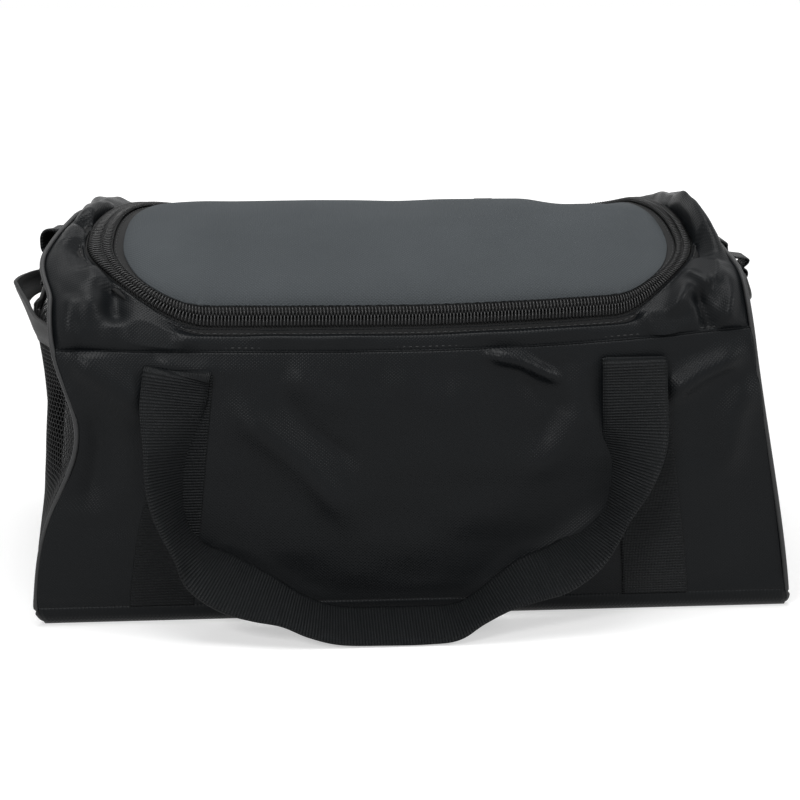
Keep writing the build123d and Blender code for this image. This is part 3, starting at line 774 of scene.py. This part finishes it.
def coil(name, spans, side, shift, body, node_name):
    """A row of nylon loops: each rises from the tape, crosses over and hooks past the middle."""
    ring_sides, radius = 6, 0.00052
    across = np.array([0.0054, 0.0056, 0.0046, 0.0030, 0.0012, -0.0002, -0.0004, 0.0010])
    height = np.array([-0.0002, 0.0010, 0.0022, 0.0026, 0.0024, 0.0016, 0.0006, 0.0000])
    along = np.array([0.0, 0.00005, 0.00015, 0.00030, 0.00045, 0.00050, 0.00055, 0.00060])
    step_a, step_h = np.gradient(across), np.gradient(height)
    size = np.hypot(step_a, step_h)
    normal_a, normal_h = -step_h / size, step_a / size
    turn = np.arange(ring_sides) / ring_sides * 2 * pi
    fat = np.array([0.8, 1, 1, 1, 1, 1.15, 1.0, 0.7])[:, None] * radius
    a = across[:, None] + normal_a[:, None] * np.cos(turn) * fat
    h = height[:, None] + normal_h[:, None] * np.cos(turn) * fat
    t = along[:, None] + np.sin(turn) * fat
    loop_faces = grid_faces(len(across), ring_sides, wrap_columns=True)
    caps = np.array([[0, 1, 2, 3], [0, 3, 4, 5]])
    end = (len(across) - 1) * ring_sides
    loop_faces = np.concatenate([loop_faces, caps[:, ::-1], caps + end])
    parts = []
    for first, last in spans:
        d = np.arange(first + shift, last, coil_pitch)
        q = q_of(d[:, None] + t.ravel()[None])
        x, y = ring_at(q, side * a.ravel()[None] + 0 * d[:, None])
        points = place(x, s_at(y), h.ravel()[None] + 0 * x).reshape(-1, 3)
        offsets = (np.arange(len(d)) * a.size)[:, None, None]
        parts.append((points, (loop_faces[None] + offsets).reshape(-1, 4), points[:, :2]))
    ride(joined(name, parts, coil_plastic), body, "zipper_coil", node_name)


coil("lid_coil", [(lid_start, lid_stop)], -1, 0.0, "lid", "lid_zipper_coil")
body_span = (tail_x + 0.002, whole - tail_x - 0.002)
coil("body_coil", [body_span], 1, coil_pitch / 2, "bag", "body_zipper_coil")
coil("tail_coil", tail_spans, -1, 0.0, "bag", "body_zipper_coil")


# ---- lid ----
def lid_half_width(y, grow):
    """Half the lid's width at depth y."""
    front_y, back_y = ring_ends(grow)
    fore = np.clip((widest_y - y) / (widest_y - front_y), 0, 1)
    rear = np.clip((y - widest_y) / (back_y - widest_y), 0, 1)
    front = chain_half - front_corner + (front_corner + grow) * np.sqrt(1 - fore**2)
    back = chain_half - rear_corner + (rear_corner + grow) * np.sqrt(1 - rear**2)
    return np.where(y < widest_y, front, back)


def lid():
    """The padded lid: crowned cloth over foam, a rolled edge and a lining under it."""
    inset, columns = -0.0072, 190
    front_y, _ = ring_ends(inset)

    def half_at(y):
        """Half the lid's width at depth y, drawn in along its sides."""
        return lid_half_width(y, inset) - 0.0045 * smooth((y - front_y) / 0.035)

    turn = np.linspace(pi / 2, 0, 46)
    curved_y = widest_y - (widest_y - front_y) * np.sin(turn)
    y = np.concatenate([curved_y, np.linspace(widest_y, fold_y, 70)[1:]])[:, None]
    t = np.linspace(-1, 1, columns)[None]
    t = np.sign(t) * (1 - (1 - np.abs(t)) ** 1.25)
    x = t * half_at(y)
    s = s_at(y) + 0 * x
    edge_y = np.linspace(front_y, fold_y, 400)
    edge_x, edge_s = half_at(edge_y), s_at(edge_y)
    front = np.linspace(-edge_x[0], edge_x[0], 120)
    rims = (edge_x, edge_s), (-edge_x, edge_s), (front, 0 * front + s_at(np.array(front_y)))
    edge = np.concatenate([np.stack(rim, 1) for rim in rims])
    near = np.full(x.shape, 1.0)
    for ex, es in edge:
        near = np.minimum(near, np.hypot(x - ex, s - es))
    rise = 1 - np.exp(-near / 0.0045)
    swell = 1 - np.exp(-near / 0.030)
    rear = smooth((y + 0.010) / 0.045)
    behind = smooth((y + 0.03) / 0.04) * (1 - smooth((y - 0.036) / 0.020))
    sag = 0.0026 * smooth((x - 0.075) / 0.03) * behind
    h = 0.0004 + 0.0024 * rise * (1 - 0.5 * rear) + 0.0022 * swell * (1 - rear) - sag * rise
    h = h + (0.0007 * noise(x, s, 0.06, 61) + 0.0004 * noise(x, s, 0.025, 62)) * rise
    for line in (((-155, -98), (-140, -88), (-120, -84)), ((150, -70), (148, -50), (152, -25))):
        h = h + crease(x, s, line, 7, -1.0) * rise
    top = place(x, s, h)
    under = place(x, s, 0 * h - 0.0040 - 0.0006 * rise)
    rows = top.shape[0]
    points = np.concatenate([top.reshape(-1, 3), under.reshape(-1, 3)])
    faces_top = grid_faces(rows, columns)
    faces_under = faces_top[:, ::-1] + rows * columns
    index = np.arange(rows * columns).reshape(rows, columns)
    sides = index[0, :-1], index[:-1, -1], index[-1, ::-1][:-1], index[::-1, 0][:-1]
    border = np.concatenate(sides)
    after = np.roll(border, -1)
    rim = np.stack([border, border + rows * columns, after + rows * columns, after], 1)
    faces = np.concatenate([faces_top, rim, faces_under])
    flat = np.stack([x, s], -1).reshape(-1, 2)
    obj = mesh_object("lid_padded", points, faces, [lid_cloth_painted_lighter, lining], np.concatenate([flat, flat]))
    kinds = np.zeros(len(faces), np.int32)
    kinds[len(faces_top) + len(rim) :] = 1
    obj.data.polygons.foreach_set("material_index", kinds)
    ride(obj, "lid", "lid_cloth", "lid_cloth", "lid_foam", "lid_lining")


lid()


def fold_strip():
    """The cloth behind the lid's fold, between the zipper's tails, its front edge tucked down under the
    lid.
    """
    parts, rows, columns = [], 20, 160
    tape_y = chain_back - 0.0062
    for low, high in ((fold_y - 0.0060, tape_y), (tape_y, chain_back + 0.0076)):
        y = np.linspace(low, high, rows)[:, None]
        half = lid_half_width(y, -0.0070) if high == tape_y else tail_x - 0.0005 + 0 * y
        x = np.linspace(-1, 1, columns)[None] * half
        s = s_at(y) + 0 * x
        tucked = 0.0010 * smooth((fold_y + 0.0010 - y) / 0.0030)
        points = place(x, s, 0.0002 - tucked + 0 * x).reshape(-1, 3)
        uv = np.stack([x, s], -1).reshape(-1, 2)
        parts.append((points, grid_faces(rows, columns), uv))
    obj = thicken(joined("fold_strip_cloth", parts, body_cloth), 0.0012)
    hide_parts("lid_fold_strip")
    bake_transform(obj)


fold_strip()


# ---- webbing and handles ----
def band_section(width, thickness):
    """Outline of webbing across its width: flat, with a slightly fuller rounded edge."""
    t = np.linspace(-1, 1, 14)
    rounded = np.sqrt(np.clip(1 - np.abs(t) ** 24, 0.12, 1))
    full = thickness / 2 * (1 + 0.10 * np.abs(t) ** 6) * rounded
    across = t * width / 2
    return np.concatenate([across, across[::-1]]), np.concatenate([full, -full[::-1]])


def ribbon(name, centre, across, width, thickness):
    """Webbing along a line of points, its width along `across` at each."""
    ahead = np.gradient(centre, axis=0)
    ahead /= np.linalg.norm(ahead, axis=1, keepdims=True)
    across = across - ahead * (across * ahead).sum(1, keepdims=True)
    across /= np.linalg.norm(across, axis=1, keepdims=True)
    normal = np.cross(ahead, across)
    a, b = band_section(width, thickness)
    points = centre[:, None] + across[:, None] * a[:, None] + normal[:, None] * b[:, None]
    uv = np.stack(np.meshgrid(run_of(centre), a, indexing="ij"), -1)
    rows, columns = points.shape[:2]
    faces = grid_faces(rows, columns, wrap_columns=True)
    half = columns // 2
    caps = np.array([[k, k + 1, columns - 2 - k, columns - 1 - k] for k in range(half - 1)])
    faces = np.concatenate([faces, caps, caps[:, ::-1] + (rows - 1) * columns])
    return mesh_object(name, points.reshape(-1, 3), faces, strap, uv.reshape(-1, 2))


def webbing_line(side, t):
    """Middle (x, z) of a sewn webbing, from its top at t = 0 to its foot at 1."""
    low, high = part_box("front_webbing_right")
    lean = 0.005 if side > 0 else 0
    top_x, foot_x = low.x + webbing_width / 2, high.x - webbing_width / 2 - lean
    return side * (top_x + (foot_x - top_x) * t), webbing_top_z + (base_seam_z - webbing_top_z) * t


def sewn_webbing(face, face_name, side, side_name):
    """Webbing sewn up a face, following its cloth."""
    x, z = webbing_line(side, np.linspace(0, 1, 90))
    s = face * s_of_z(z)
    t = np.linspace(-1, 1, 22)[None] * webbing_width / 2
    xs, ss = x[:, None] + t, s[:, None] + 0 * t
    points = place(xs, ss, panel_height(face, xs, ss) + 0.0014)[:, ::-face]
    uv = np.stack([z[:, None] + 0 * t, t + 0 * xs], -1)[:, ::-face]
    obj = grid_object(f"{face_name}_band_{side_name}", points, strap, uv)
    ride(thicken(obj, sewn_thickness), "bag", "webbing", f"{face_name}_webbing_{side_name}")


for face, face_name in faces_of_bag:
    for side, side_name in ends_of_bag:
        sewn_webbing(face, face_name, side, side_name)


# A handle's middle line from one leg's top, over the floor, to the other's: along, out, up (mm),
# how far its width has turned from lying along the bag to pointing at it, and its inner edge's
# rise (degrees).
handle_route = (
    (-137, 122.0, 149.6, 0, 0), (-137, 122.8, 152.0, 0, 0), (-137, 125.0, 152.8, 0, 0),
    (-138.2, 126.9, 150, 2, 0), (-140.4, 127.6, 141, 6, 0), (-142.4, 128.8, 131, 15, 0),
    (-143.6, 132.0, 111, 38, 0), (-143.2, 134.8, 86, 54, 0), (-139.5, 137, 65, 68, 0),
    (-132, 140, 51, 76, 12), (-123, 143, 41, 73, 30), (-108, 146, 32, 72, 36),
    (-92, 148, 25.5, 76, 28), (-77, 149.5, 19.5, 82, 16), (-62, 150, 12, 85, 14),
    (-45, 150, 7.2, 88, 14), (-20, 150, 6.2, 90, 14), (5, 150, 6.2, 90, 14),
    (22, 150, 7.6, 90, 12), (36, 149.5, 15, 88, 7), (51, 148.5, 24.5, 83, 12),
    (66, 147, 31.5, 78, 22), (82, 145, 36.5, 74, 25), (97, 142.5, 45, 74, 20),
    (108, 139.5, 55, 78, 12), (117.5, 136.5, 68, 76, 2), (123.5, 134.6, 82, 62, 0),
    (127.5, 133.4, 96, 44, 0), (130.3, 131.5, 112, 18, 0), (131, 129.4, 129, 6, 0),
    (131.4, 127.8, 141, 2, 0), (131.4, 126.9, 150.2, 0, 0), (131.4, 125, 152.8, 0, 0),
    (131.4, 122.8, 152.0, 0, 0), (131.4, 122.0, 149.6, 0, 0),
)


def through(stations, steps):
    """A smooth line through stations, with `steps` points between each two."""
    v = np.array(stations, float)
    v = np.concatenate([[2 * v[0] - v[1]], v, [2 * v[-1] - v[-2]]])
    t = np.linspace(0, 1, steps, endpoint=False)[:, None]
    rows = []
    for a, b, c, d in zip(v, v[1:], v[2:], v[3:]):
        bend = 2 * a - 5 * b + 4 * c - d + t * (3 * (b - c) + d - a)
        rows.append(b + 0.5 * t * (c - a + t * bend))
    return np.concatenate(rows + [v[-2:-1]])


def handle(face, face_name):
    """A carry loop: it rolls over its webbing's top, turns edge-on and rests on the floor."""
    route = through(handle_route, 8)
    if face > 0:
        route = route[::-1] * [-1, 1, 1, 1, 1]
    centre = route[:, :3] / 1000
    turn, rise = np.radians(route[:, 3]), np.radians(route[:, 4])
    lowest = np.argmin(np.abs(centre[:, 0]))
    leg = np.where(np.arange(len(route)) < lowest, 1.0, -1.0)
    across = np.stack([leg * np.cos(turn), -np.sin(turn) * np.cos(rise), np.sin(turn) * np.sin(rise)], 1)
    centre[:, 1] *= face
    across[:, 1] *= face
    centre += (settle(centre) - centre) * smooth((centre[:, 2] - 0.08) / 0.06)[:, None]
    obj = ribbon(f"{face_name}_carry_handle", centre, across, webbing_width, strap_thickness)
    ride(obj, f"{face_name}_handle", "webbing", f"{face_name}_handle")


for face, face_name in faces_of_bag:
    handle(face, face_name)


# ---- stitching ----
def stitches(name, lines, body, slot):
    """Rows of thread: each stitch is a short bead that dips into the cloth at both ends."""
    sides, rings, length, gap, radius = 5, 5, 0.0026, 0.0012, 0.00028
    t = np.linspace(-1, 1, rings)
    fat = np.sqrt(np.clip(1 - t**2 * 0.85, 0, 1))
    turn = np.arange(sides) / sides * 2 * pi
    bead_faces = grid_faces(rings, sides, wrap_columns=True)
    parts = []
    for line, up in lines:
        run = run_of(line)
        for first in np.arange(gap, run[-1] - length, length + gap):
            at = first + length * (t + 1) / 2
            middle = np.stack([np.interp(at, run, line[:, k]) for k in range(3)], 1)
            rise = np.stack([np.interp(at, run, up[:, k]) for k in range(3)], 1)
            ahead = middle[-1] - middle[0]
            ahead /= np.linalg.norm(ahead)
            out = np.cross(ahead, rise)
            out /= np.linalg.norm(out, axis=1, keepdims=True)
            ring = out[:, None] * np.cos(turn)[:, None] + rise[:, None] * np.sin(turn)[:, None]
            lifted = middle + rise * (radius * 0.9 * (1 - t**2))[:, None]
            points = (lifted[:, None] + ring * (radius * fat)[:, None, None]).reshape(-1, 3)
            parts.append((points, bead_faces, points[:, :2]))
    ride(joined(name, parts, thread), body, slot)


def on_cloth(x, s, h):
    """A line on the cloth and the way off it."""
    here = place(x, s, h)
    away = place(x, s, h + 0.001) - here
    return here, away / np.linalg.norm(away, axis=-1, keepdims=True)


def sew_seams():
    """Topstitching beside the level seams and round the zipper."""
    rows = []
    for face, _ in faces_of_bag:
        x = np.linspace(-base_half + 0.018, base_half - 0.018, 300)
        s = 0 * x + face * (s_seam - 0.0030)
        rows.append(on_cloth(x, s, 0 * x + 0.0006))
    stitches("seam_topstitch", rows, "bag", "body_cloth")
    d = np.linspace(lid_start + 0.004, lid_stop - 0.004, 900)
    beside = (("lid", -0.0072, -0.0004, "zipper_tape"), ("bag", 0.0088, 0.0004, "body_cloth"))
    for body, grow, h, slot in beside:
        x, y = ring_at(q_of(d), grow)
        stitches(f"tape_topstitch_{body}", [on_cloth(x, s_at(y), 0 * x + h)], body, slot)


sew_seams()


def seam_lips():
    """The folded cloth edge that stands up along each level seam."""
    for face, face_name in faces_of_bag:
        x = np.linspace(-1, 1, 300) * (float(end_x(np.array(seam_z))) - 0.001)
        line = place(x, 0 * x + face * (s_seam - 0.0006), 0 * x + 0.0005)
        ride(tube(f"seam_lip_{face_name}", line, 0.0009, body_cloth), "bag", "body_cloth")


seam_lips()


def sew_webbing():
    """Edge rows and a crossed box at the top of each sewn webbing."""
    rows, edge, top, low = [], webbing_width / 2 - 0.0024, 0.03, 0.27
    marks = (
        ((-edge, 0), (-edge, 1)), ((edge, 0), (edge, 1)), ((-edge, top), (edge, top)),
        ((-edge, low), (edge, low)), ((-edge, top), (edge, low)), ((edge, top), (-edge, low)),
    )
    for face, _ in faces_of_bag:
        for side, _ in ends_of_bag:
            for (x0, t0), (x1, t1) in marks:
                x, z = webbing_line(side, np.linspace(0.015 + 0.97 * t0, 0.015 + 0.97 * t1, 60))
                x = x + np.linspace(x0, x1, 60)
                s = face * s_of_z(z)
                rows.append(on_cloth(x, s, panel_height(face, x, s) + 0.0022))
    stitches("webbing_stitch", rows, "bag", "webbing")


sew_webbing()


# ---- pieces on the ends ----
def arc_line(points, radius):
    """A line through points with rounded corners, in the (x, z) plane."""
    points = [np.array(p, float) for p in points]
    line = [points[0]]
    for a, b, c in zip(points, points[1:], points[2:]):
        back, ahead = a - b, c - b
        reach = min(radius, np.linalg.norm(back) / 2, np.linalg.norm(ahead) / 2)
        p, r = b + back / np.linalg.norm(back) * reach, b + ahead / np.linalg.norm(ahead) * reach
        for t in np.linspace(0, 1, 8):
            line.append((1 - t) ** 2 * p + 2 * (1 - t) * t * b + t**2 * r)
    line.append(points[-1])
    return np.array(line)


def end_ribbon(name, side, line, thickness, node_name, swung=0):
    """Webbing on an end: its line in the middle plane, its width along Y, swung by some degrees."""
    centre = settle(np.stack([side * line[:, 0], 0 * line[:, 0], line[:, 1]], 1))
    near = end_x(line[:, 1]) + 0.0015
    out = np.clip((line[:, 0] - near) / 0.006, 0, 1) * radians(swung)
    across = np.stack([-np.sin(out), side * np.cos(out), 0 * out], 1)
    ride(ribbon(name, centre, across, end_band_width, thickness), "bag", "webbing", node_name)


def finish(node_name, material):
    """Gives a CAD piece that stays as it is its material."""
    kept = frame["nodes"][node_name]
    kept.data.materials.clear()
    kept.data.materials.append(material)


def end_hardware(side, side_name):
    """The belt loop, the doubled tab and its ring on one end."""
    low, high, bow = loop_box[0].z, loop_box[1].z, -loop_box[0].x

    def skin(z):
        """Distance of the webbing's middle from the bag's, where it lies on the end at height z."""
        return float(end_x(np.array(z))) + 0.0016

    far, drop, swung = bow - 0.0062, 0.0035, 24
    if side > 0:
        far, drop, swung = skin(low + 0.008) + 0.0026, 0.0080, 0
    loop = arc_line([
        (skin(low), low - 0.001), (skin(low + 0.003) + 0.0003, low + 0.002),
        (far, low + 0.0035), (far, high - drop),
        (skin(high - 0.003) + 0.0010, high - 0.0028), (skin(high - 0.001), high - 0.0010),
    ], 0.0055)
    end_ribbon(f"belt_loop_{side_name}", side, loop, strap_thickness, f"end_loop_{side_name}", swung)
    bar_x, _, bar_z = ring_axis
    turn, eye_radius = np.linspace(radians(100), radians(-260), 28), 0.0034
    eye = np.stack([bar_x + eye_radius * np.cos(turn), bar_z + eye_radius * np.sin(turn)], 1)
    top = tab_box[1].z - 0.001
    bend = (skin(top - 0.004) + 0.002, top - 0.003), (bar_x + 0.0058, bar_z + 0.0095)
    lead = arc_line([(skin(top), top), *bend, eye[0]], 0.005)
    under = (skin(top - 0.007), top - 0.0065), (skin(top - 0.001), top - 0.0015)
    tail = arc_line([eye[-1], *under], 0.003)
    line = np.concatenate([lead[:-1], eye, tail[1:]])
    end_ribbon(f"ring_tab_band_{side_name}", side, line, 0.0015, f"ring_tab_{side_name}")
    finish(f"d_ring_{side_name}", ring_plastic)


for side, side_name in ends_of_bag:
    end_hardware(side, side_name)


# ---- mesh pocket ----
pocket_half = hem_high.y
hem_bow = -hem_low.x - float(end_x(np.array(hem_low.z))) + 0.001


def pocket_rise(y):
    """0 at the hem's ends, 1 at its tip, which hangs open behind the middle."""
    foot, tip = 0.05, 0.68
    t = np.clip((y + pocket_half) / (2 * pocket_half), 0, 1)
    round_end = np.sqrt(np.clip(1 - ((t - tip) / (1 - tip)) ** 2, 0, 1))
    return np.where(t < tip, np.clip((t - foot) / (tip - foot), 0, 1), round_end)


def pocket_face(y, z):
    """Distance of the pocket's cloth from the middle of the bag."""
    arch = np.clip(1 - (y / pocket_half) ** 2, 0, 1)
    gape_z = 0.118
    gape = np.clip((z - gape_z) / (hem_high.z - gape_z), 0, 1.1) ** 1.2
    low = 0.0028 * np.exp(-(((z - 0.030) / 0.024) ** 2))
    bow = low * arch * np.clip(1 - gape, 0, 1) + hem_bow * pocket_rise(y) * gape
    return end_x(z) + 0.0022 * arch**0.5 + 0.0010 + bow


def pocket_hem():
    """The bound hem: a folded band along the pocket's gaping mouth."""
    rows, columns = 18, 140
    t = np.linspace(0, 1, rows)[:, None]
    y = np.linspace(-pocket_half, pocket_half, columns)[None]
    z = hem_low.z + t * (hem_high.z - hem_low.z) + 0.006 * pocket_rise(y)
    roll = 0.0007 * np.cos(t * pi * 2)
    x = -(pocket_face(y, z) + 0.0006 - roll)
    points = settle(np.stack([x, y + 0 * x, z], -1))
    uv = np.stack([y + 0 * z, z], -1)
    obj = grid_object("pocket_hem_band", points[:, ::-1], binding, uv[:, ::-1])
    ride(thicken(obj, hem_thickness, 0.0), "bag", "binding", "pocket_hem")


def pocket_net():
    """Knitted netting with open holes, from the hem down to the base seam."""
    pitch, row_share, corner_share = 0.0030, 0.866, 0.5774
    rows = int((hem_low.z - net_foot_z) / (pitch * row_share))
    columns = int(2 * pocket_half / pitch)
    lines = []
    hex_turn = radians(30) + np.arange(6) * pi / 3
    seen, knots = {}, []
    for r in range(rows):
        for c in range(columns):
            cy = -pocket_half + pitch * (c + 0.5 * (r % 2) + 0.5)
            cz = net_foot_z + pitch * row_share * (r + 0.6)
            ring = []
            for a in hex_turn:
                p = (cy + pitch * corner_share * cos(a), cz + pitch * corner_share * sin(a))
                key = (round(p[0] / pitch * 8), round(p[1] / pitch * 8))
                if key not in seen:
                    seen[key] = len(knots)
                    knots.append(p)
                ring.append(seen[key])
            lines.append(ring)
    knots = np.array(knots)
    y = np.clip(knots[:, 0], -pocket_half, pocket_half)
    z = np.clip(knots[:, 1], net_foot_z, hem_low.z + 0.001)
    flutter = 0.0006 * noise(y, z, 0.02, 71)
    top = smooth((z - 0.11) / (hem_low.z - 0.11)) * 0.006 * pocket_rise(y)
    shaped = settle(np.stack([-(pocket_face(y, z) + flutter), y, z + top], 1))
    obj = mesh_object("pocket_netting", shaped, lines, netting, knots)
    wire = obj.modifiers.new("threads", "WIREFRAME")
    wire.thickness = 0.00075
    wire.use_even_offset = False
    ride(obj, "bag", "mesh", "mesh_pocket")


pocket_hem()
pocket_net()

# ---- CAD pieces that keep their shape ----
finish("base_board", board_plastic)
for node_name in ("zipper_slider", "zipper_pull", "zipper_stops"):
    finish(node_name, metal)


# ---- floor, light and camera ----
def background_seen(tree):
    """1 on rays that show the background, straight, in a reflection or through something clear."""
    path = node(tree, "ShaderNodeLightPath")
    mirrored = calc(tree, "MAXIMUM", path.outputs["Is Glossy Ray"], path.outputs["Is Transmission Ray"])
    return calc(tree, "MAXIMUM", path.outputs["Is Camera Ray"], mirrored)


def stage():
    """A plain pale floor that shows white and keeps the bag's shadow."""
    size, grey, far_glow, near_glow = 6.0, 0.62, 1.0, 0.50
    corners = [(-size, -size, 0), (size, -size, 0), (size, size, 0), (-size, size, 0)]
    floor = mesh_object("floor", corners, [(0, 1, 2, 3)], [], None, False)
    material, tree, shader = surface("floor", (grey, grey, grey), 0.9, 0.0)
    place_in = node(tree, "ShaderNodeTexCoord").outputs["Object"]
    away = node(tree, "ShaderNodeVectorMath", {0: place_in}, operation="LENGTH").outputs["Value"]
    reach = {"From Min": 0.5, "From Max": 1.6, "To Min": near_glow, "To Max": far_glow}
    ramp = node(tree, "ShaderNodeMapRange", {"Value": away, **reach})
    shader.inputs["Emission Color"].default_value = (1, 1, 1, 1)
    glow = calc(tree, "MULTIPLY", background_seen(tree), ramp.outputs[0])
    tree.links.new(glow, shader.inputs["Emission Strength"])
    floor.data.materials.append(material)


def world():
    """Plain soft light all round, and white where the background is seen past the floor."""
    scene_world = bpy.data.worlds.new("studio")
    bpy.context.scene.world = scene_world
    scene_world.use_nodes = True
    tree = scene_world.node_tree
    back = tree.nodes["Background"]
    back.inputs["Color"].default_value = (1, 1, 1, 1)
    light, seen = 0.25, 1.0
    strength = calc(tree, "ADD", calc(tree, "MULTIPLY", background_seen(tree), seen - light), light)
    tree.links.new(strength, back.inputs["Strength"])


def lamp(name, at, aim, size, power):
    """A soft square lamp."""
    data = bpy.data.lights.new(name, "AREA")
    data.size, data.energy = size, power
    obj = add_object(name, data)
    obj.location = at
    obj.rotation_mode = "QUATERNION"
    obj.rotation_quaternion = (Vector(aim) - Vector(at)).to_track_quat("-Z", "Y")


def camera():
    """Level with the bag's crown and a little to its left, as a long lens sees it."""
    azimuth, elevation, roll, distance = radians(-4.5), radians(15), radians(0.13), 1.2306
    aim = Vector((0.0012, 0.0, 0.1022))
    back = Vector((sin(azimuth) * cos(elevation), -cos(azimuth) * cos(elevation), sin(elevation)))
    data = bpy.data.cameras.new("camera")
    data.lens, data.sensor_width = 85.5, 36.0
    obj = add_object("camera", data)
    obj.rotation_mode = "QUATERNION"
    obj.rotation_quaternion = (-back).to_track_quat("-Z", "Y") @ Quaternion((0, 0, 1), roll)
    obj.location = aim + back * distance
    bpy.context.scene.camera = obj


stage()
world()
lamp("top", (-0.1, -0.15, 1.55), (0, 0, 0.15), 1.0, 18)
lamp("side", (1.4, -0.8, 0.9), (0, 0, 0.12), 0.4, 9)
lamp("front", (-0.8, -1.4, 1.1), (0, 0, 0.1), 0.4, 13)
camera()
bpy.context.scene.view_settings.view_transform = "Standard"
